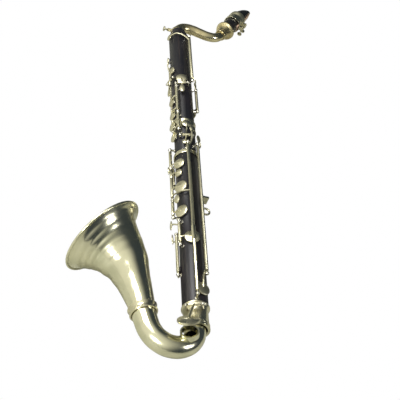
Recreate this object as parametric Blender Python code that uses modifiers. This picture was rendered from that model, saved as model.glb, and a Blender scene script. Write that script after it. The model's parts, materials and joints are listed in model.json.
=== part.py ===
"""Alto clarinet, lying on its right side: X towards the back, Y up the body, Z the player's left."""

import math

import bmesh
import bpy
from mathutils import Matrix, Vector

MM = 0.001
GAP = 0.3

# Wooden body, millimetres: heights run up from the foot.
UPPER_R, LOWER_TOP_R, LOWER_FOOT_R, BORE_R = 14.75, 15.3, 16.2, 8.6
BODY_TOP, SHOULDER, JOINT_Y, TENON_LENGTH, FOOT_TOP = 560.0, 547.0, 282.0, 18.0, 18.0
TENON_R, CORK_R, SOCKET_R, FOOT_TENON_R = 11.5, 12.4, 12.7, 13.4
SLEEVE_LOW, SLEEVE_HIGH = 329.0, 346.0

# Metal tubes.
BOW_WALL, BELL_WALL, NECK_WALL, NECK_R = 1.0, 1.1, 1.0, 7.8
RIM_R, RIM_ROLL = 55.8, 1.7
BOW_PATH = [(-0.2, 0.5, 12.0), (0.0, -6, 12.0), (0.7, -14.5, 12.1), (4.6, -28.5, 12.6),
            (16.2, -40.2, 13.2), (31.6, -44.1, 13.5), (47.2, -38.7, 13.8),
            (57.2, -27.8, 14.1), (63.5, -10.2, 14.5), (65.7, -0.6, 14.7)]
BELL_PATH = [(66.0, 0.6, 15.2), (68.6, 12.5, 16.6), (72.5, 27, 18.6), (76.9, 42, 21.0),
             (81.6, 56, 24.4), (86.1, 68.2, 28.2), (91.5, 77.5, 31.5), (96.5, 85, 34.4),
             (102.5, 92.3, 38.6), (108.0, 98.2, 43.6), (112.6, 103.0, 49.2), (116.1, 106.9, RIM_R)]
NECK_PATH = [(0, 548, NECK_R), (0, 557, NECK_R), (-0.1, 564.5, NECK_R), (-4.0, 572.4, NECK_R),
             (-12.5, 577.0, NECK_R), (-24.9, 577.2, 7.6), (-36.3, 574.3, 7.4),
             (-49.5, 571.6, 7.2), (-60.0, 572.8, 7.1), (-67.0, 577.4, 7.1), (-70.6, 582.3, 7.1),
             (-73.6, 587.4, 7.1)]

# Mouthpiece: s runs from the neck socket's rim towards the tip.
MP_START, MP_ANGLE, MP_LENGTH, MP_R = (-80.7, 599.5), 59.5, 74.5, 11.6
TABLE_OFFSET, REED_START, REED_THICK, REED_HALF = 9.0, 19.0, 2.1, 5.6
LIGATURE_LOW, LIGATURE_HIGH, LIGATURE_R = 24.0, 46.0, 12.8

# Keywork.
ROD_R, TUBE_BORE, TUBE_R, BALL_R, STEM_R, ARM_R = 1.05, 1.5, 2.3, 2.7, 1.5, 1.15
SEAT_PROUD, PAD_GAP = 0.9, 0.35

SILVER, GOLD, BLACK = (0.62, 0.61, 0.52), (0.66, 0.58, 0.38), (0.018, 0.014, 0.017)
STEEL, CORK, CANE, PAD = (0.5, 0.5, 0.5), (0.55, 0.38, 0.2), (0.74, 0.55, 0.36), (0.2, 0.12, 0.07)

for old in list(bpy.data.objects):
    bpy.data.objects.remove(old, do_unlink=True)
scene = bpy.context.scene
parts = bpy.data.collections.new("alto_clarinet")
cutters = bpy.data.collections.new("cutters")
for group in (parts, cutters):
    scene.collection.children.link(group)
cutters.hide_render = True
root = bpy.data.objects.new("instrument", None)
parts.objects.link(root)


def at(y, phi, r):
    """A point at a height, an angle round the body (0 front, 90 left) and a radius."""
    turn = math.radians(phi)
    return Vector((-r * math.cos(turn), y, r * math.sin(turn)))


def side(fwd, up, left=0.0):
    return Vector((-fwd, up, left))


def body_r(y):
    if y > JOINT_Y:
        return UPPER_R
    return LOWER_FOOT_R + (LOWER_TOP_R - LOWER_FOOT_R) * (y - FOOT_TOP) / (JOINT_Y - FOOT_TOP)


def helper(bm, name="piece", closed=True):
    """A mesh in millimetres becomes an object in metres, kept with the cutters."""
    if closed:
        bmesh.ops.recalc_face_normals(bm, faces=bm.faces)
    bmesh.ops.scale(bm, vec=(MM, MM, MM), verts=bm.verts)
    mesh = bpy.data.meshes.new(name)
    bm.to_mesh(mesh)
    bm.free()
    obj = bpy.data.objects.new(name, mesh)
    obj.hide_render = True
    obj.display_type = "WIRE"
    cutters.objects.link(obj)
    return obj


def frame_at(origin, z_axis, x_hint=(0, 1, 0)):
    z = Vector(z_axis).normalized()
    x = Vector(x_hint) - z * z.dot(Vector(x_hint))
    if x.length < 1e-3:
        x = Vector((1, 0, 0)) - z * z.x
    x.normalize()
    y = z.cross(x)
    m = Matrix((x, y, z)).transposed().to_4x4()
    m.translation = Vector(origin)
    return m


def rod(a, b, r, sides=8, r2=None):
    a, b = Vector(a), Vector(b)
    bm = bmesh.new()
    m = frame_at((a + b) / 2, b - a)
    bmesh.ops.create_cone(bm, cap_ends=True, segments=sides, radius1=r,
                          radius2=r if r2 is None else r2, depth=(b - a).length, matrix=m)
    return helper(bm)


def ball(centre, r, scale=(1, 1, 1), m=None, u=8, v=5):
    bm = bmesh.new()
    base = frame_at(centre, (0, 0, 1)) if m is None else m
    bmesh.ops.create_uvsphere(bm, u_segments=u, v_segments=v, radius=r,
                              matrix=base @ Matrix.Diagonal((*scale, 1)))
    return helper(bm)


def block(m, size):
    bm = bmesh.new()
    bmesh.ops.create_cube(bm, size=1, matrix=m @ Matrix.Diagonal((*size, 1)))
    return helper(bm)


def turned(profile, m, steps=24):
    """Revolves a closed (radius, height) outline about Z of the frame m."""
    bm = bmesh.new()
    points = [bm.verts.new((r, 0, z)) for r, z in profile]
    edges = [bm.edges.new((points[i - 1], points[i])) for i in range(len(points))]
    bmesh.ops.spin(bm, geom=points + edges, cent=(0, 0, 0), axis=(0, 0, 1),
                   angle=math.tau, steps=steps, use_merge=True)
    bmesh.ops.remove_doubles(bm, verts=bm.verts, dist=1e-4)
    flat = [e for e in bm.edges if not e.link_faces]
    bmesh.ops.delete(bm, geom=flat, context="EDGES")
    bmesh.ops.transform(bm, matrix=m, verts=bm.verts)
    return helper(bm)


def swept(path, segments=6, wall=0.0, order=3, steps=2):
    """A tube through (point, radius) pairs; a wall leaves it open and gives it that thickness."""
    data = bpy.data.curves.new("path", "CURVE")
    data.dimensions = "3D"
    data.bevel_depth = MM
    data.bevel_resolution = max(0, segments // 4 - 1)
    data.resolution_u = steps
    data.use_fill_caps = wall == 0
    if len(path) > 2:
        spline = data.splines.new("BEZIER")
        spline.bezier_points.add(len(path) - 1)
        for point, (co, r) in zip(spline.bezier_points, path):
            point.co = Vector(co) * MM
            point.radius = r
            point.handle_left_type = point.handle_right_type = "AUTO"
    else:
        spline = data.splines.new("POLY")
        spline.points.add(len(path) - 1)
        for point, (co, r) in zip(spline.points, path):
            point.co = (*(Vector(co) * MM), 1)
            point.radius = r
    curve = bpy.data.objects.new("path", data)
    cutters.objects.link(curve)
    graph = bpy.context.evaluated_depsgraph_get()
    mesh = bpy.data.meshes.new_from_object(curve.evaluated_get(graph))
    bpy.data.objects.remove(curve)
    bm = bmesh.new()
    bm.from_mesh(mesh)
    bmesh.ops.remove_doubles(bm, verts=bm.verts, dist=1e-7)
    bmesh.ops.scale(bm, vec=(1 / MM,) * 3, verts=bm.verts)
    obj = helper(bm, closed=wall == 0)
    if wall:
        shell = obj.modifiers.new("wall", "SOLIDIFY")
        shell.thickness = wall * MM
        shell.offset = -1
        shell.use_even_offset = True
    return obj


def material(name, colour, metallic, rough):
    made = bpy.data.materials.new(name)
    made.use_nodes = True
    shader = made.node_tree.nodes["Principled BSDF"]
    shader.inputs["Base Color"].default_value = (*colour, 1)
    shader.inputs["Metallic"].default_value = metallic
    shader.inputs["Roughness"].default_value = rough
    return made


def node(name, pieces, cuts=(), colour=SILVER, metallic=1.0, rough=0.3, pivot=None):
    """Fuses the pieces, takes away the cuts and names the result, with its origin on its pivot."""
    base = pieces[0]
    for operation, others in (("UNION", pieces[1:]), ("DIFFERENCE", cuts)):
        for other in others:
            step = base.modifiers.new(operation.lower(), "BOOLEAN")
            step.operation = operation
            step.solver = "EXACT"
            step.object = other
    graph = bpy.context.evaluated_depsgraph_get()
    mesh = bpy.data.meshes.new_from_object(base.evaluated_get(graph))
    mesh.name = name
    made = bpy.data.objects.new(name, mesh)
    mesh.materials.clear()
    mesh.materials.append(material(name, colour, metallic, rough))
    if pivot is not None:
        place = Vector(pivot) * MM
        mesh.transform(Matrix.Translation(-place))
        made.location = place
    made.parent = root
    parts.objects.link(made)
    for piece in [*pieces, *cuts]:
        bpy.data.objects.remove(piece, do_unlink=True)
    return made


def upright(y):
    """A frame at the body's axis whose Z runs up the body."""
    return frame_at((0, y, 0), (0, 1, 0), (1, 0, 0))


def outward(y, phi, r):
    """A frame whose Z points out of the body and whose X runs up it."""
    return frame_at(at(y, phi, r), at(0, phi, 1))


def cup(y, phi, base, r, steps=14):
    """A domed pad cup with its pad, whose flat face stands at the radius base."""
    outline = [(0, 0), (r - 0.8, 0), (r - 0.8, 0.8), (r, 0.8), (r, 2.0), (r - 1.6, 2.7), (0, 3.1)]
    return turned(outline, outward(y, phi, base), steps)


def touch(y, phi, r, half_length, half_width, lean=0.0):
    m = outward(y, phi, r) @ Matrix.Rotation(math.radians(lean), 4, "Z")
    return ball((0, 0, 0), 1.0, (half_length, half_width, 1.3), m, 10, 5)


def arm(*points, r=ARM_R):
    return swept([(at(*p), r) for p in points], 6, steps=2)


def seat_r(y):
    return body_r(y) + SEAT_PROUD


def pad_base(y):
    return seat_r(y) + PAD_GAP


HOLES = []


def padded(y, phi, r, hole=None, base=None):
    """A cup over its tone hole; the hole is noted for the joint it is bored in."""
    if hole:
        HOLES.append((y, phi, hole))
    return cup(y, phi, pad_base(y) if base is None else base, r)


def long_key(name, phi, r, low, high, pieces, colour=SILVER):
    """A key on a tube that runs along the body."""
    tube = rod(at(low, phi, r), at(high, phi, r), TUBE_R)
    bore = rod(at(low - 3, phi, r), at(high + 3, phi, r), TUBE_BORE, 6)
    return node(name, [tube, *pieces], [bore], colour, pivot=at((low + high) / 2, phi, r))


def long_rod(name, phi, r, posts):
    """A steel rod along the body, held by ball-headed posts."""
    low, high = min(posts), max(posts)
    pieces = [rod(at(low, phi, r), at(high, phi, r), ROD_R, 6)]
    for y in posts:
        pieces.append(ball(at(y, phi, r), BALL_R))
        foot = body_r(y) + (1.9 if SLEEVE_LOW < y < SLEEVE_HIGH else GAP)
        pieces.append(rod(at(y, phi, foot), at(y, phi, r), STEM_R, 7))
        pieces.append(rod(at(y, phi, foot), at(y, phi, foot + 0.9), 2.6, 9))
    return node(name, pieces, colour=SILVER)


def cross_key(name, y, phi, r, half, pieces, turn=0.0, post_r=None, colour=SILVER):
    """A lever on a tube that lies across the body, and the rod and posts that hold it."""
    across = Vector((0, 1, 0)).cross(at(0, phi, 1)).normalized()
    centre = at(y, phi, r)
    tube = rod(centre - across * half, centre + across * half, TUBE_R)
    bore = rod(centre - across * (half + 3), centre + across * (half + 3), TUBE_BORE, 6)
    made = node(name, [tube, *pieces], [bore], colour, pivot=centre)
    if turn:
        swing = Matrix.Rotation(math.radians(turn), 4, across)
        made.data.transform(swing)
    reach = half + BALL_R + 0.2
    deep = math.sqrt(max(1, (body_r(y) if post_r is None else post_r) ** 2 - reach ** 2))
    ends = [centre + across * reach * s for s in (-1, 1)]
    out = at(0, phi, 1)
    rods = [rod(ends[0], ends[1], ROD_R, 6)]
    for end in ends:
        foot = end - out * (r - deep - 1.2)
        rods += [ball(end, BALL_R - 0.4), rod(foot, end, STEM_R, 7)]
    node(name + "_axle", rods)
    return made


# Upper joint keys.
long_key("register_key", 121, 20.5, 434, 531, [
    arm((524, 121, 20.5), (529, 102, 19.9), (536, 60, 19.2), (537, 15, 18.2)),
    cup(537, 15, pad_base(537), 4.8),
    arm((441, 121, 20.5), (434, 133, 22.4), (423, 131, 22.6)), touch(419.5, 130, 22.4, 7, 3.2)])
long_rod("register_rod", 121, 20.5, (429.5, 535.5))
cross_key("throat_g_sharp_key", 418, 71, 19.2, 6, [
    padded(431, 71, 8.2, 3.5), arm((429, 71, 18.6), (418, 71, 19.8), (405, 71, 21.5)),
    touch(404, 71, 21.5, 8, 4.2)])
cross_key("throat_a_key", 434, 12, 19.2, 5, [
    padded(455, 20, 6.2, 2.5), arm((455, 20, 18.4), (434, 12, 19.8), (412, 8, 21.3)),
    touch(407, 8, 21.3, 8, 4)])
long_key("thumb_key", 150, 20.5, 376, 414, [
    arm((380, 150, 20.5), (378, 165, 19.8), (378, 178, 18.4)), padded(378, 180, 6.8, 3.5),
    arm((404, 150, 20.5), (400, 160, 21.5), (397, 170, 21.5)), touch(396, 171, 21.5, 8, 5)])
long_rod("thumb_rod", 150, 20.5, (371.5, 418.5))
for name, low, high, reach, height, base, hole in (
        ("left_first_key", 379, 404, 389, 388.6, None, 3.5),
        ("left_second_key", 358, 378, 363, 359.6, None, 4.0),
        ("left_third_key", 334, 348, 340, 335.5, 17.4, None),
        ("left_fourth_key", 322, 333, 326, 314.0, None, 4.5)):
    plate_base = pad_base(height) if base is None else base
    long_key(name, 50, 23.3, low, high, [
        arm((reach, 50, 23.3), ((reach + height) / 2, 32, 22.0), (height, 10, plate_base + 2.6)),
        padded(height, 10, 7.6, hole, base)])
long_rod("left_stack_rod", 50, 23.3, (317.5, 353.0, 408.5))
cross_key("c_sharp_key", 307, 76, 18.8, 5.5, [
    cup(331, 80, 17.4, 6.4), arm((331, 80, 19.6), (307, 76, 19.4), (293, 70, 19.8), r=1.0),
    turned([(0, 0), (4.2, 0), (4.2, 1.1), (2.6, 2.0), (0, 2.4)], outward(293, 70, 19.0), 14)])
long_key("upper_trill_key", -62, 20.5, 355, 487, [
    arm((480, -62, 20.5), (484, -46, 20.0), (491, -24, 18.6)), padded(492, -20, 5.2, 2.2),
    arm((361, -62, 20.5), (353, -75, 21.6), (339, -83, 22)), touch(337, -83, 22, 8, 4)])
long_rod("upper_trill_rod", -62, 20.5, (350.5, 491.5))
long_key("lower_trill_key", -112, 20.5, 355, 456, [
    arm((449, -112, 20.5), (455, -99, 20.4), (467, -94, 18.8)), padded(469, -94, 5.2, 2.2),
    arm((361, -112, 20.5), (353, -125, 21.6), (339, -125, 22)), touch(337, -125, 22, 8, 4)])
long_rod("lower_trill_rod", -112, 20.5, (350.5, 460.5))

# Long left little-finger levers.
long_key("left_lever_front", 77, 26, 25.8, 281, [
    arm((277, 77, 26), (286, 87, 27.5), (302, 89, 27.5), (313, 92, 27)), touch(313, 93, 27, 6, 4.5),
    swept([(at(107, 77, 26), 3.0), (at(130, 77, 26), 3.0)], 8)])
long_rod("left_lever_front_rod", 77, 26, (21.2, 285.5))
long_key("left_lever_back", 117, 22.5, 64.9, 286.6, [
    arm((282, 117, 22.5), (288, 127, 24), (298, 119, 24.5)), touch(300, 118, 24.5, 7.5, 4),
    arm((68, 117, 22.5), (58, 105, 22.0), (38, 103, 20.0)), padded(36, 103, 9.2, 5.0)])
long_rod("left_lever_back_rod", 117, 22.5, (60.2, 291.3))

# Lower joint keys.
for name, low, high, reach, height, phi, r, hole in (
        ("right_first_key", 252, 287, 258, 255, 36, 8.2, 4.5),
        ("right_second_key", 236, 251, 241, 238, 30, 6.0, 3.0),
        ("right_third_key", 201, 235, 214, 211, 38, 9.3, 5.5)):
    extra = [arm((204, -5, 22), (200, 25, 21.0), (199, 60, 20.5), (199, 86, 20.0))]
    long_key(name, -5, 22, low, high, [
        arm((reach, -5, 22), (reach, 12, 21.2), (height, phi, pad_base(height) + 2.6)),
        padded(height, phi, r, hole), *(extra if name == "right_third_key" else [])])
long_key("right_fourth_key", -5, 22, 169, 191, [
    arm((172, -5, 22), (170, 12, 21.2), (167, 34, 19.8)), padded(167, 35, 9.4, 5.5),
    arm((187, -5, 22), (188, 12, 23.5), (186, 28, 24.5)), touch(185, 30, 24.5, 7.5, 4.6)])
long_rod("right_stack_rod", -5, 22, (164.5, 195.8, 291.5))
long_key("right_side_key", -48, 20.5, 238, 268, [
    arm((262, -48, 20.5), (260, -36, 23.0), (258, -24, 24.5)), touch(258, -22, 24.5, 7, 3.5),
    arm((242, -48, 20.5), (240, -62, 20.0), (238, -76, 19.2)), padded(238, -77, 6.2, 3.0)])
long_rod("right_side_rod", -48, 20.5, (233.5, 272.5))
long_key("little_finger_key", 29.5, 22, 113, 145, [
    arm((121, 29.5, 22), (120, 50, 21.2), (118.7, 74, 19.8)), padded(118.7, 74, 10.0, 5.5),
    arm((141, 29.5, 22), (146, 12, 24.6), (151, -6, 25.2)), touch(151, -8, 25.2, 7.5, 5)])
long_rod("little_finger_rod", 29.5, 22, (108.5, 149.5))
long_key("front_cup_key", 4, 20.3, 70.5, 128, [
    arm((88, 4, 20.3), (83, -8, 20.0), (79, -24, 19.6)), padded(79, -25, 8.0, 4.5),
    arm((120, 4, 20.3), (125, -12, 22.5), (132, -25, 23.6)), touch(134, -26, 23.6, 8, 4.6)])
long_rod("front_cup_rod", 4, 20.3, (66.0, 132.5))

# Foot, bow and bell.
BELL_KEY_PHI, BELL_KEY_OPEN = 66, 20
out = Vector((-0.33, 0.2, 0.92)).normalized()
vent = side(9.5, -35.0)
HINGE_Y, HINGE_R = 8.0, 22.0
rim_top, vent_r, rim_r = 19.0, 9.6, 11.4
bow_source = swept([(side(f, u), r) for f, u, r in BOW_PATH], 20, BOW_WALL)
chimney = rod(vent + out * 12.3, vent + out * rim_top, rim_r, 20)
hole = rod(vent + out * 3, vent + out * (rim_top + 4), vent_r, 20)
node("bow", [bow_source, chimney], [hole], (0.62, 0.61, 0.5))

hinge = at(HINGE_Y, BELL_KEY_PHI, HINGE_R)
across = Vector((0, 1, 0)).cross(at(0, BELL_KEY_PHI, 1)).normalized()
lid = frame_at(vent + out * (rim_top + PAD_GAP), out)
lid_r = 13.6
pieces = [rod(hinge - across * 7, hinge + across * 7, TUBE_R),
          turned([(0, 0), (lid_r - 1, 0), (lid_r - 1, 1.2), (lid_r, 1.2), (lid_r, 3.2),
                  (lid_r - 1.8, 3.8), (0, 4.6)], lid, 22),
          swept([(hinge, 1.5), ((hinge + lid.translation) / 2 + out * 4.2, 1.6),
                 (lid.translation + out * 3.6, 1.7)], 8)]
key = node("bell_key", pieces, [rod(hinge - across * 10, hinge + across * 10, TUBE_BORE, 6)],
           pivot=hinge)
key.data.transform(Matrix.Rotation(math.radians(-BELL_KEY_OPEN), 4, across))
ends = [hinge + across * 10 * s for s in (-1, 1)]
radial = at(0, BELL_KEY_PHI, 1)
axle = [rod(ends[0], ends[1], ROD_R, 6)]
for end in ends:
    axle += [ball(end, BALL_R - 0.4), rod(end - radial * 9.2, end, STEM_R, 7)]
node("bell_key_axle", axle)

turned_socket = turned([(FOOT_TENON_R + GAP, 18), (17.6, 18), (17.6, 16.6), (15.6, 14.8), (15.2, 8),
                        (15.2, -8), (16.2, -8.4), (16.2, -10.4), (15.2, -10.8), (15.2, -12.6),
                        (16.2, -13), (16.2, -15), (13.1, -15), (13.1, 1.2),
                        (FOOT_TENON_R + GAP, 1.2)], upright(0), 28)
node("foot_socket", [turned_socket], colour=SILVER)

joint_axis = side(68.6, 12.5) - side(63.5, -10.2)
node("bell_ring", [turned([(15.3, -4.5), (16.8, -4.5), (17.5, -3.2), (16.9, -1.8), (16.9, 1.8),
                           (17.6, 3.2), (18.2, 4.4), (17.6, 5.2), (16.3, 5.2), (16.3, -0.9),
                           (15.3, -0.9)],
                          frame_at(side(65.9, 0.2), joint_axis), 28)])
bell_shell = swept([(side(f, u), r) for f, u, r in BELL_PATH], 32, BELL_WALL, steps=2)
rim_axis = side(116.1, 106.9) - side(112.6, 103.0)
ROLL = 6
roll = turned([(RIM_R - 0.4 + RIM_ROLL * math.cos(math.tau * i / ROLL),
                RIM_ROLL * math.sin(math.tau * i / ROLL)) for i in range(ROLL)],
              frame_at(side(116.1, 106.9), rim_axis), 36)
node("bell", [bell_shell, roll], colour=(0.66, 0.65, 0.54), rough=0.2)

# Thumb rest with its strap ring, on the back of the lower joint.
plate = block(frame_at(at(195, 180, LOWER_TOP_R + 2.2), (1, 0, 0)), (34, 12, 2.4))
hook = block(frame_at(at(207, 180, LOWER_TOP_R + 7.3), (1, 0, 0)), (3, 12, 8.6))
ring = turned([(5.4 + 1.4 * math.cos(math.tau * i / 8), 1.4 * math.sin(math.tau * i / 8))
               for i in range(8)], frame_at(at(186, 180, LOWER_TOP_R + 7.6), (0, 0, 1)), 18)
node("thumb_rest", [plate, hook, ring])

# Wooden joints, bored last so that every tone hole is known.
def bored(y, phi, r):
    seat = rod(at(y, phi, 10), at(y, phi, seat_r(y)), r + 2.0, 12)
    return seat, rod(at(y, phi, 5), at(y, phi, seat_r(y) + 3), r, 12)


upper = [bored(*spot) for spot in HOLES if spot[0] > JOINT_Y]
lower = [bored(*spot) for spot in HOLES if spot[0] < JOINT_Y]
TENON_END = JOINT_Y - TENON_LENGTH
node("upper_joint", [turned([
    (BORE_R, BODY_TOP), (11.6, BODY_TOP), (12.6, 555), (13.4, 550), (UPPER_R, SHOULDER),
    (UPPER_R, JOINT_Y + 0.5), (TENON_R, JOINT_Y + 0.5), (TENON_R, TENON_END),
    (BORE_R, TENON_END)], upright(0), 28), *[s for s, _ in upper]], [h for _, h in upper],
     BLACK, 0.0, 0.35)
node("tenon_cork", [turned([(TENON_R + GAP, JOINT_Y - 1), (CORK_R, JOINT_Y - 1),
                            (CORK_R, TENON_END + 2), (TENON_R + GAP, TENON_END + 2)],
                           upright(0), 28)], [], CORK, 0.0, 0.9)
node("lower_joint", [turned([
    (SOCKET_R, JOINT_Y), (LOWER_TOP_R, JOINT_Y), (LOWER_FOOT_R, FOOT_TOP + 0.4),
    (FOOT_TENON_R, FOOT_TOP + 0.4), (FOOT_TENON_R, 1.6), (BORE_R + 0.6, 1.6),
    (BORE_R, 120), (BORE_R, TENON_END - 1), (SOCKET_R, TENON_END - 1)], upright(0), 28),
    *[s for s, _ in lower]], [h for _, h in lower], BLACK, 0.0, 0.35)
node("joint_ring", [turned([(LOWER_TOP_R + GAP, 282), (16.7, 282), (17.1, 280.6), (16.6, 279),
                            (17.1, 277.4), (16.7, 276), (LOWER_TOP_R + GAP, 276)],
                           upright(0), 28)])
node("body_sleeve", [turned([(UPPER_R + GAP, SLEEVE_HIGH), (15.6, SLEEVE_HIGH), (16.4, 345),
                             (16.4, 344), (15.7, 342.6), (15.7, 330.4), (16.3, SLEEVE_LOW),
                             (UPPER_R + GAP, SLEEVE_LOW)], upright(0), 28)],
     colour=(0.6, 0.6, 0.48))

# Neck with its receiver and thumbscrew.
axis = Vector((math.cos(math.radians(MP_ANGLE)), math.sin(math.radians(MP_ANGLE)), 0))
mouth = frame_at(side(*MP_START), axis, (0, 0, 1))
node("neck_receiver", [turned([(NECK_R + 0.6, 565.4), (10.4, 565.4), (11.2, 564.2), (11.2, 560.4),
                               (NECK_R + 0.6, 560.4)], upright(0), 28),
                       rod((-9.6, 563.2, 0), (-17, 563.2, 0), 2.6, 12)],
     [rod((-7, 563.2, 0), (-20, 563.2, 0), 1.5, 10)], GOLD)
node("neck_screw", [rod((-8.4, 563.2, 0), (-22.5, 563.2, 0), 1.2, 8),
                    rod((-17.5, 563.2, 0), (-21, 563.2, 0), 1.8, 8, 1.4),
                    rod((-21.8, 563.2, 0), (-23.6, 563.2, 0), 3.8, 14)], pivot=(-15, 563.2, 0))
node("neck", [swept([(side(f, u), r) for f, u, r in NECK_PATH], 16, NECK_WALL)], [], GOLD)
node("neck_socket", [turned([(7.5, -20), (8.6, -20), (9.2, -17.5), (8.6, -15), (9.8, -9),
                             (11.0, -3.5), (14.6, -2.6), (15.0, 0), (14.4, 0.6), (8.9, 0.6),
                             (8.9, -13), (7.5, -13)], mouth, 28)], [], GOLD)
node("mouthpiece_cork", [turned([(7.5, -11), (8.6, -11), (8.6, -0.5), (7.5, -0.5)], mouth, 24)],
     [], CORK, 0.0, 0.9)

body = turned([(5.5, -12.5), (7.2, -12.5), (7.2, 1.0), (11.8, 1.0), (12.1, 4), (MP_R, 22),
               (10.6, 48), (10.0, MP_LENGTH), (0, MP_LENGTH), (0, 57), (5.5, 50)], mouth, 28)
# The reed side is the mouthpiece frame's direction towards the player's chest.
reed_out = (side(-0.857, -0.515)).normalized()


def on_table(s, depth):
    return side(*MP_START) + axis * s + reed_out * depth


table = block(frame_at(on_table(REED_START + 30, TABLE_OFFSET + 10), reed_out, axis), (62, 40, 20))
# The beak is cut from the top of the ligature to a thin tip at the table.
BEAK_START, TIP_THICK = 49.0, 1.2
fall = axis * (MP_LENGTH - BEAK_START) + reed_out * (TABLE_OFFSET - TIP_THICK + 10.4)
beak_out = (axis * fall.dot(reed_out) - reed_out * fall.dot(axis)).normalized()
slope = block(frame_at(on_table(MP_LENGTH, TABLE_OFFSET - TIP_THICK) + beak_out * 15, beak_out, fall),
              (90, 40, 30))
window = block(frame_at(on_table(58, 6.5), reed_out, axis), (20, 8, 8))
mouthpiece_node = node("mouthpiece", [body], [table, slope, window], BLACK, 0.0, 0.2)
reed = block(frame_at(on_table(REED_START + 27.5, TABLE_OFFSET + GAP + REED_THICK / 2), reed_out, axis),
             (55, 2 * REED_HALF, REED_THICK))
thin = frame_at(on_table(MP_LENGTH - 1, TABLE_OFFSET + GAP + 0.35), reed_out, axis)
vamp = block(thin @ Matrix.Rotation(math.radians(3.6), 4, "Y") @ Matrix.Translation((-10, 0, 5)),
             (40, 20, 10))
node("reed", [reed], [vamp], CANE, 0.0, 0.6)
band = [(LIGATURE_R, LIGATURE_LOW), (13.9, LIGATURE_LOW), (13.9, LIGATURE_LOW + 7),
        (13.3, LIGATURE_LOW + 8), (13.3, LIGATURE_HIGH - 8), (13.9, LIGATURE_HIGH - 7),
        (13.9, LIGATURE_HIGH), (LIGATURE_R, LIGATURE_HIGH)]
LUG = 17.0
lugs = [block(frame_at(on_table(s, LUG - 1.2), reed_out, axis), (4.5, 6, 6.4)) for s in (29, 41)]
node("ligature", [turned(band, mouth, 28), *lugs],
     [rod(on_table(s, LUG) + Vector((0, 0, -6)), on_table(s, LUG) + Vector((0, 0, 6)), 1.3, 10)
      for s in (29, 41)])
for name, s in (("lower_ligature_screw", 29), ("upper_ligature_screw", 41)):
    centre = on_table(s, LUG)
    node(name, [rod(centre + Vector((0, 0, 5)), centre + Vector((0, 0, -11)), 1.0, 8),
                rod(centre + Vector((0, 0, -9.5)), centre + Vector((0, 0, -11.8)), 3.6, 14)],
         pivot=centre)

# The origin is the middle of the bounding box's underside.
bpy.context.view_layer.update()
corners = [obj.matrix_world @ Vector(c) for obj in parts.objects if obj.type == "MESH"
           for c in obj.bound_box]
low = Vector([min(c[i] for c in corners) for i in range(3)])
high = Vector([max(c[i] for c in corners) for i in range(3)])
root.location = (-(low.x + high.x) / 2, -(low.y + high.y) / 2, -low.z)
bpy.context.view_layer.update()
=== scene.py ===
"""Looks for the alto clarinet: finishes, fine bell, bow and neck, studio and the photograph's camera."""

import json
import math

import bmesh
import bpy
from mathutils import Matrix, Vector


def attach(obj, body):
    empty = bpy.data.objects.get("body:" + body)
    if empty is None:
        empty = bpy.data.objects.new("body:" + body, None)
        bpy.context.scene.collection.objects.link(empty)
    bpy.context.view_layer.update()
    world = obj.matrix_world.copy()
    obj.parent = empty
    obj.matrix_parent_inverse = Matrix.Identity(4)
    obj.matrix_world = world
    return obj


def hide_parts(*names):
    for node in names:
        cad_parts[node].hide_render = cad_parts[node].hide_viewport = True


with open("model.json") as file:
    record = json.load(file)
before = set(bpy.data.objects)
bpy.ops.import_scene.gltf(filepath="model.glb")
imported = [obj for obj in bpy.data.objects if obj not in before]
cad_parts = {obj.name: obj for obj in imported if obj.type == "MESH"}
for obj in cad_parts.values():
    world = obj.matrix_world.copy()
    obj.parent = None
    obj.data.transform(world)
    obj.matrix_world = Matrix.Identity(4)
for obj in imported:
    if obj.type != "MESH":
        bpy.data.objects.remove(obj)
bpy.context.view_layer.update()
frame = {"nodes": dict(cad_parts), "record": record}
scene = bpy.context.scene
MM = 0.001


class Wire:
    """A shader socket that takes part in Python arithmetic."""

    def __init__(self, tree, socket=None):
        self.tree = tree
        self.socket = socket

    def node(self, kind, output, settings=None, sockets=None):
        """One output of a new node. Its sockets are named or numbered, and take values or wires."""
        made = self.tree.nodes.new(kind)
        for name, value in (settings or {}).items():
            setattr(made, name, value)
        for key, value in (sockets or {}).items():
            if isinstance(value, Wire):
                value.into(made.inputs[key])
            else:
                made.inputs[key].default_value = value
        return Wire(self.tree, made.outputs[output])

    def into(self, socket):
        self.tree.links.new(self.socket, socket)

    def math(self, operation, *values):
        return self.node("ShaderNodeMath", "Value", {"operation": operation}, dict(enumerate(values)))

    def __add__(self, other):
        return self.math("ADD", self, other)

    def __mul__(self, other):
        return self.math("MULTIPLY", self, other)

    def __sub__(self, other):
        return self.math("SUBTRACT", self, other)

    def __rsub__(self, other):
        return self.math("SUBTRACT", other, self)

    __radd__, __rmul__ = __add__, __mul__

    def between(self, low, high):
        """Zero below low, one above high and a smooth step from one to the other."""
        return self.node("ShaderNodeMapRange", "Result", {"interpolation_type": "SMOOTHSTEP"},
                         {"Value": self, "From Min": low, "From Max": high})

    def blend(self, dark, light):
        """A colour from dark to light as this value goes from zero to one."""
        factor, first, second, result = 0, 6, 7, 2
        return self.node("ShaderNodeMix", result, {"data_type": "RGBA"},
                         {factor: self, first: opaque(dark), second: opaque(light)})

    def noise(self, scale, detail=3.0):
        return self.node("ShaderNodeTexNoise", "Fac", None,
                         {"Vector": self, "Scale": scale, "Detail": detail})

    def stretched(self, along_x, along_y, along_z):
        return self.node("ShaderNodeMapping", "Vector", None,
                         {"Vector": self, "Scale": Vector((along_x, along_y, along_z))})

    def parts(self):
        """The three numbers of a vector."""
        split = self.node("ShaderNodeSeparateXYZ", "X", None, {"Vector": self})
        return [Wire(self.tree, socket) for socket in split.socket.node.outputs]


def opaque(colour):
    return colour if isinstance(colour, Wire) else (*colour, 1)


COAT_ROUGHNESS = 0.12
GLOSS_IOR = 1.5
BUMP_STRENGTH = 0.5


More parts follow.
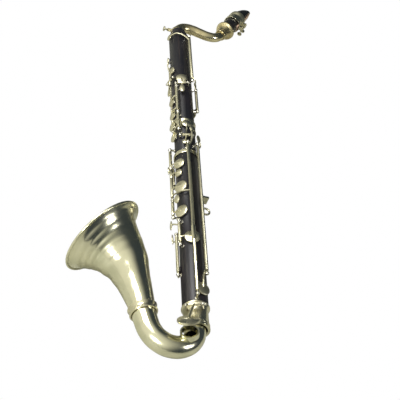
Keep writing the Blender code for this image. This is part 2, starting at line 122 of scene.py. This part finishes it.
def surface(name, metallic=0.0, coat=0.0):
    """A new material, its shader, and a wire with the place on the object, in metres."""
    made = bpy.data.materials.new(name)
    made.use_nodes = True
    shader = made.node_tree.nodes["Principled BSDF"]
    shader.inputs["Metallic"].default_value = metallic
    shader.inputs["Coat Weight"].default_value = coat
    shader.inputs["Coat Roughness"].default_value = COAT_ROUGHNESS
    shader.inputs["IOR"].default_value = GLOSS_IOR
    return made, shader, Wire(made.node_tree).node("ShaderNodeTexCoord", "Object")


def finish(made, shader, colour, rough, height, depth_mm):
    colour.into(shader.inputs["Base Color"])
    rough.into(shader.inputs["Roughness"])
    bump = height.node("ShaderNodeBump", "Normal", None,
                       {"Height": height, "Distance": depth_mm * MM, "Strength": BUMP_STRENGTH})
    bump.into(shader.inputs["Normal"])
    return made


def silver(name, clean, dull, tarnish_and_shade, smooth, rough):
    """Aged metal: cloudy film, dark tarnished spots, painted shade that darkens the corners and the gaps
    between parts, fine scratches.
    """
    made, shader, place = surface(name, metallic=1.0)
    film = place.noise(scale=22.0).between(0.38, 0.68)
    spots = place.noise(scale=170.0).between(0.66, 0.84)
    # Painted shade: where ambient occlusion finds surfaces close by, in corners and between parts, the
    # colour darkens to the same dark colour that the spots get.
    open_air = place.node("ShaderNodeAmbientOcclusion", "AO", {"samples": 8}, {"Distance": 6 * MM})
    corners = (1.0 - open_air).between(0.25, 0.85)
    colour = corners.blend(spots.blend(film.blend(clean, dull), tarnish_and_shade), tarnish_and_shade)
    scratches = place.noise(scale=900.0, detail=2.0)
    waves = place.noise(scale=60.0)
    return finish(made, shader, colour, smooth + film * (rough - smooth) + spots * 0.12,
                  scratches * 0.5 + waves * 0.5, depth_mm=0.06)


def grenadilla():
    """Black wood with brown streaks and a grain that run along the body."""
    made, shader, place = surface("grenadilla", coat=0.08)
    grain = place.stretched(420.0, 9.0, 420.0).noise(scale=1.0, detail=5.0)
    patches = place.noise(scale=14.0).between(0.45, 0.75)
    streaks = grain.between(0.50, 0.80)
    black = streaks.blend((0.006, 0.006, 0.010), (0.026, 0.016, 0.014))
    colour = patches.blend(black, (0.016, 0.012, 0.016))
    return finish(made, shader, colour, 0.36 + grain * 0.22, grain, depth_mm=0.08)


def ebonite():
    """Black moulded rubber, greyer and duller where it is worn."""
    made, shader, place = surface("ebonite", coat=0.4)
    wear = place.noise(scale=45.0).between(0.4, 0.75)
    colour = wear.blend((0.008, 0.008, 0.009), (0.03, 0.027, 0.024))
    return finish(made, shader, colour, 0.18 + wear * 0.2, place.noise(scale=300.0), depth_mm=0.03)


def cane():
    """Pale cane with fine fibres."""
    made, shader, place = surface("cane")
    fibres = place.stretched(500.0, 60.0, 1500.0).noise(scale=1.0, detail=4.0)
    colour = fibres.blend((0.72, 0.46, 0.33), (0.86, 0.66, 0.50))
    return finish(made, shader, colour, 0.5 + fibres * 0.2, fibres, depth_mm=0.1)


def cork():
    """Brown cork with dark specks."""
    made, shader, place = surface("cork")
    specks = place.noise(scale=700.0, detail=4.0)
    colour = specks.between(0.35, 0.7).blend((0.28, 0.16, 0.08), (0.6, 0.42, 0.24))
    return finish(made, shader, colour, 0.8 + specks * 0.1, specks, depth_mm=0.3)


KEYS_SILVER = silver("keys_silver", clean=(0.80, 0.76, 0.56), dull=(0.62, 0.58, 0.41),
                     tarnish_and_shade=(0.17, 0.15, 0.08), smooth=0.22, rough=0.40)
BELL_SILVER = silver("bell_silver", clean=(0.86, 0.83, 0.62), dull=(0.68, 0.67, 0.48),
                     tarnish_and_shade=(0.36, 0.34, 0.20), smooth=0.17, rough=0.28)
NECK_SILVER = silver("neck_silver", clean=(0.84, 0.75, 0.48), dull=(0.68, 0.58, 0.33),
                     tarnish_and_shade=(0.26, 0.20, 0.09), smooth=0.20, rough=0.32)
ROD_STEEL = silver("rod_steel", clean=(0.70, 0.68, 0.60), dull=(0.48, 0.46, 0.38),
                   tarnish_and_shade=(0.14, 0.12, 0.08), smooth=0.20, rough=0.36)
WOOD = grenadilla()
CORK = cork()
LOOKS = {"upper_joint": WOOD, "lower_joint": WOOD, "mouthpiece": ebonite(), "reed": cane(),
         "tenon_cork": CORK, "mouthpiece_cork": CORK, "bell": BELL_SILVER, "bow": BELL_SILVER,
         "neck": NECK_SILVER, "neck_receiver": NECK_SILVER, "neck_socket": NECK_SILVER}

# The clarinet's own origin is the foot of its body. The frame puts it here, in metres.
ORIGIN = Vector((0.016220, -0.301061, 0.0571))
BODY_OF = {node: body for body, nodes in frame["record"]["behaviour"]["bodies"].items()
           for node in nodes}
SHARP_DEG = 38.0


def look_of(node):
    plain = ROD_STEEL if node.endswith(("_rod", "_axle")) else KEYS_SILVER
    return LOOKS.get(node, plain)


def show(mesh, name, node):
    """Adds a piece in place of a CAD node, on its body, smooth but for its sharp edges."""
    piece = bpy.data.objects.new(name, mesh)
    scene.collection.objects.link(piece)
    mesh.materials.clear()
    mesh.materials.append(look_of(node))
    for face in mesh.polygons:
        face.use_smooth = True
    mesh.set_sharp_from_angle(angle=math.radians(SHARP_DEG))
    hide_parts(node)
    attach(piece, BODY_OF[node])
    return piece


def evaluated_mesh(piece):
    return bpy.data.meshes.new_from_object(
        piece.evaluated_get(bpy.context.evaluated_depsgraph_get()))


WELD = 0.002 * MM


def merged(mesh):
    form = bmesh.new()
    form.from_mesh(mesh)
    bmesh.ops.remove_doubles(form, verts=form.verts, dist=WELD)
    form.to_mesh(mesh)
    form.free()
    return mesh


def path_point(fwd, up):
    """A place in the clarinet's middle plane, from millimetres forward of and above the foot."""
    return Vector((-fwd, up, 0)) * MM + ORIGIN


STEPS_PER_POINT = 10


def swept(path, sides, wall):
    """An open tube of even wall through (forward, up, outer radius) rows, all in millimetres."""
    data = bpy.data.curves.new("path", "CURVE")
    data.dimensions = "3D"
    data.bevel_depth = MM
    data.bevel_resolution = sides // 4 - 1
    data.resolution_u = STEPS_PER_POINT
    spline = data.splines.new("BEZIER")
    spline.bezier_points.add(len(path) - 1)
    for point, (fwd, up, radius) in zip(spline.bezier_points, path):
        point.co = path_point(fwd, up)
        point.radius = radius
        point.handle_left_type = point.handle_right_type = "AUTO"
    curve = bpy.data.objects.new("path", data)
    scene.collection.objects.link(curve)
    shell = curve.modifiers.new("wall", "SOLIDIFY")
    shell.thickness = wall * MM
    shell.offset = -1
    shell.use_even_offset = True
    mesh = evaluated_mesh(curve)
    bpy.data.objects.remove(curve)
    return merged(mesh)


# The rows are those of the CAD model: forward, up and outer radius in millimetres.
NECK_PATH = [(0, 548, 7.8), (0, 557, 7.8), (-0.1, 564.5, 7.8), (-4.0, 572.4, 7.8),
             (-12.5, 577.0, 7.8), (-24.9, 577.2, 7.6), (-36.3, 574.3, 7.4), (-49.5, 571.6, 7.2),
             (-60.0, 572.8, 7.1), (-67.0, 577.4, 7.1), (-70.6, 582.3, 7.1), (-73.6, 587.4, 7.1)]
NECK_SIDES = 48
NECK_WALL = 1.0

BELL_PATH = [(66.0, 0.6, 15.2), (68.6, 12.5, 16.6), (72.5, 27, 18.6), (76.9, 42, 21.0),
             (81.6, 56, 24.4), (86.1, 68.2, 28.2), (91.5, 77.5, 31.5), (96.5, 85, 34.4),
             (102.5, 92.3, 38.6), (108.0, 98.2, 43.6), (112.6, 103.0, 49.2), (116.1, 106.9, 55.8)]
BELL_SIDES = 128
BELL_WALL = 1.1
RIM_AXIS = Vector((-3.5, 3.9, 0)).normalized()
RIM_R = 55.4
RIM_STEPS = 128
ROLL_R = 1.7
ROLL_STEPS = 16

BOW_PATH = [(-0.2, 0.5, 12.0), (0.0, -6, 12.0), (0.7, -14.5, 12.1), (4.6, -28.5, 12.6),
            (16.2, -40.2, 13.2), (31.6, -44.1, 13.5), (47.2, -38.7, 13.8),
            (57.2, -27.8, 14.1), (63.5, -10.2, 14.5), (65.7, -0.6, 14.7)]
BOW_SIDES = 80
BOW_WALL = 1.0
VENT_FOOT = path_point(9.5, -35.0)
VENT_OUT = Vector((-0.33, 0.2, 0.92)).normalized()
VENT_R = 9.6
VENT_LOW = 3.0
VENT_HIGH = 23.0
CHIMNEY_R = 11.4
CHIMNEY_LOW = 12.3
CHIMNEY_TOP = 19.0
DRUM_SIDES = 64


def neck_tube():
    return swept(NECK_PATH, NECK_SIDES, NECK_WALL)


def bell_flare():
    """The bell with a rolled edge round its rim."""
    mesh = swept(BELL_PATH, BELL_SIDES, BELL_WALL)
    rim_fwd, rim_up, _ = BELL_PATH[-1]
    rim = path_point(rim_fwd, rim_up)
    beside = RIM_AXIS.cross(Vector((0, 0, 1)))
    roll = bmesh.new()
    roll.from_mesh(mesh)
    ring = []
    for step in range(ROLL_STEPS):
        lean = math.tau * step / ROLL_STEPS
        spot = (rim + beside * (RIM_R + ROLL_R * math.cos(lean)) * MM
                + RIM_AXIS * ROLL_R * math.sin(lean) * MM)
        ring.append(roll.verts.new(spot))
    edges = [roll.edges.new((ring[i - 1], ring[i])) for i in range(ROLL_STEPS)]
    bmesh.ops.spin(roll, geom=ring + edges, cent=rim, axis=RIM_AXIS, angle=math.tau,
                   steps=RIM_STEPS, use_merge=True)
    bmesh.ops.recalc_face_normals(roll, faces=roll.faces)
    roll.to_mesh(mesh)
    roll.free()
    return mesh


def drum(radius, low, high, name):
    """A round bar along the vent, from low to high over its foot, in millimetres."""
    facing = VENT_OUT.to_track_quat("Z", "Y").to_matrix().to_4x4()
    middle = Matrix.Translation(VENT_FOOT + VENT_OUT * (low + high) / 2 * MM) @ facing
    form = bmesh.new()
    bmesh.ops.create_cone(form, cap_ends=True, segments=DRUM_SIDES, radius1=radius * MM,
                          radius2=radius * MM, depth=(high - low) * MM, matrix=middle)
    mesh = bpy.data.meshes.new(name)
    form.to_mesh(mesh)
    form.free()
    made = bpy.data.objects.new(name, mesh)
    scene.collection.objects.link(made)
    return made


def bow_tube():
    """The bow with its short chimney, and the vent cut through both."""
    carrier = bpy.data.objects.new("bow_form", swept(BOW_PATH, BOW_SIDES, BOW_WALL))
    scene.collection.objects.link(carrier)
    chimney = drum(CHIMNEY_R, CHIMNEY_LOW, CHIMNEY_TOP, "chimney")
    vent = drum(VENT_R, VENT_LOW, VENT_HIGH, "vent")
    for operation, tool in (("UNION", chimney), ("DIFFERENCE", vent)):
        cut = carrier.modifiers.new(operation, "BOOLEAN")
        cut.operation = operation
        cut.solver = "EXACT"
        cut.object = tool
    mesh = evaluated_mesh(carrier)
    for helper in (carrier, chimney, vent):
        bpy.data.objects.remove(helper)
    return mesh


EDGE_MM = 0.12
EDGE_SEGMENTS = 2
EDGE_FROM_DEG = 40


def rounded_copy(node, cad):
    """The CAD piece with its sharp edges rounded off."""
    piece = show(merged(cad.data.copy()), node + "_shown", node)
    edge = piece.modifiers.new("edge", "BEVEL")
    edge.width = EDGE_MM * MM
    edge.segments = EDGE_SEGMENTS
    edge.limit_method = "ANGLE"
    edge.angle_limit = math.radians(EDGE_FROM_DEG)


REMADE = {"neck": ("neck_tube", neck_tube), "bell": ("bell_flare", bell_flare),
          "bow": ("bow_tube", bow_tube)}
for node, (name, make) in REMADE.items():
    show(make(), name, node)
for node, cad in list(frame["nodes"].items()):
    cad.data.materials.clear()
    cad.data.materials.append(look_of(node))
    if node not in REMADE:
        rounded_copy(node, cad)

# The photograph's camera, in the clarinet's own axes, whose directions the frame keeps.
LOOK_FROM = Vector((-382.5, -806.6, 958.2)) * MM + ORIGIN
CAMERA_RIGHT = Vector((0.94, -0.052, 0.336)).normalized()
CAMERA_BACK = Vector((-0.275, -0.698, 0.661)).normalized()
IMAGE_PX = 400
FOCAL_PX = 1099.0
SENSOR_MM = 36.0
CLIP_END = 30


def photo_camera():
    up = CAMERA_BACK.cross(CAMERA_RIGHT).normalized()
    turn = Matrix((up.cross(CAMERA_BACK), up, CAMERA_BACK)).transposed().to_4x4()
    turn.translation = LOOK_FROM
    lens = bpy.data.cameras.new("photo_camera")
    lens.sensor_width = SENSOR_MM
    lens.lens = FOCAL_PX / IMAGE_PX * SENSOR_MM
    lens.clip_end = CLIP_END
    camera = bpy.data.objects.new("photo_camera", lens)
    camera.matrix_world = turn
    scene.collection.objects.link(camera)
    scene.camera = camera


FLOOR_SIZE = 6.0
FLOOR_DROP = 0.002
FLOOR_REFLECTED = (0.40, 0.40, 0.34)


def white_floor():
    """A floor that is white where the camera sees it, and a dull grey in what reflects it."""
    half = FLOOR_SIZE / 2
    corners = [(-half, -half), (half, -half), (half, half), (-half, half)]
    mesh = bpy.data.meshes.new("floor")
    mesh.from_pydata([(x, y, -FLOOR_DROP) for x, y in corners], [], [(0, 1, 2, 3)])
    floor = bpy.data.objects.new("floor", mesh)
    scene.collection.objects.link(floor)
    made, shader, wire = surface("white_floor")
    shader.inputs["Base Color"].default_value = (*FLOOR_REFLECTED, 1)
    mixed = wire.node("ShaderNodeMixShader", "Shader", None,
                      {0: wire.node("ShaderNodeLightPath", "Is Camera Ray"),
                       1: Wire(made.node_tree, shader.outputs["BSDF"]),
                       2: wire.node("ShaderNodeEmission", "Emission")})
    mixed.into(made.node_tree.nodes["Material Output"].inputs["Surface"])
    mesh.materials.append(made)


# The bright side of the room is up, to the instrument's front and a little towards its foot.
BRIGHT_LEFT = 0.55
BRIGHT_FRONT = 0.75
BRIGHT_FOOT = 0.15
ROOM_DARK = (0.035, 0.045, 0.055)
ROOM_BRIGHT = (0.78, 0.77, 0.66)


def room():
    """White behind the object, and a room with one bright side in what reflects it."""
    world = bpy.data.worlds.new("studio")
    world.use_nodes = True
    scene.world = world
    sky = world.node_tree
    wire = Wire(sky)
    x, y, z = wire.node("ShaderNodeTexCoord", "Generated").parts()
    lit = (z * BRIGHT_LEFT - x * BRIGHT_FRONT - y * BRIGHT_FOOT).between(0.02, 0.78)
    reflected = sky.nodes["Background"]
    lit.blend(ROOM_DARK, ROOM_BRIGHT).into(reflected.inputs["Color"])
    mixed = wire.node("ShaderNodeMixShader", "Shader", None,
                      {0: wire.node("ShaderNodeLightPath", "Is Camera Ray"),
                       1: Wire(sky, reflected.outputs["Background"]),
                       2: wire.node("ShaderNodeBackground", "Background", None,
                                    {"Color": (1, 1, 1, 1)})})
    mixed.into(sky.nodes["World Output"].inputs["Surface"])


# Each lamp's place and width are in metres and its power in watts.
LAMPS = (("key", (-1.2, 0.5, 1.8), 1.1, 34.0),
         ("fill", (1.4, -0.9, 1.2), 0.5, 9.0),
         ("strip", (-1.0, -1.2, 0.9), 0.4, 12.0))


def lamps():
    """Square lamps that face the frame's origin."""
    for name, spot, width, power in LAMPS:
        lamp = bpy.data.lights.new(name, "AREA")
        lamp.size = width
        lamp.energy = power
        light = bpy.data.objects.new(name, lamp)
        light.location = spot
        light.rotation_euler = Vector(spot).to_track_quat("Z", "Y").to_euler()
        scene.collection.objects.link(light)


photo_camera()
white_floor()
room()
lamps()
scene.view_settings.view_transform = "Standard"
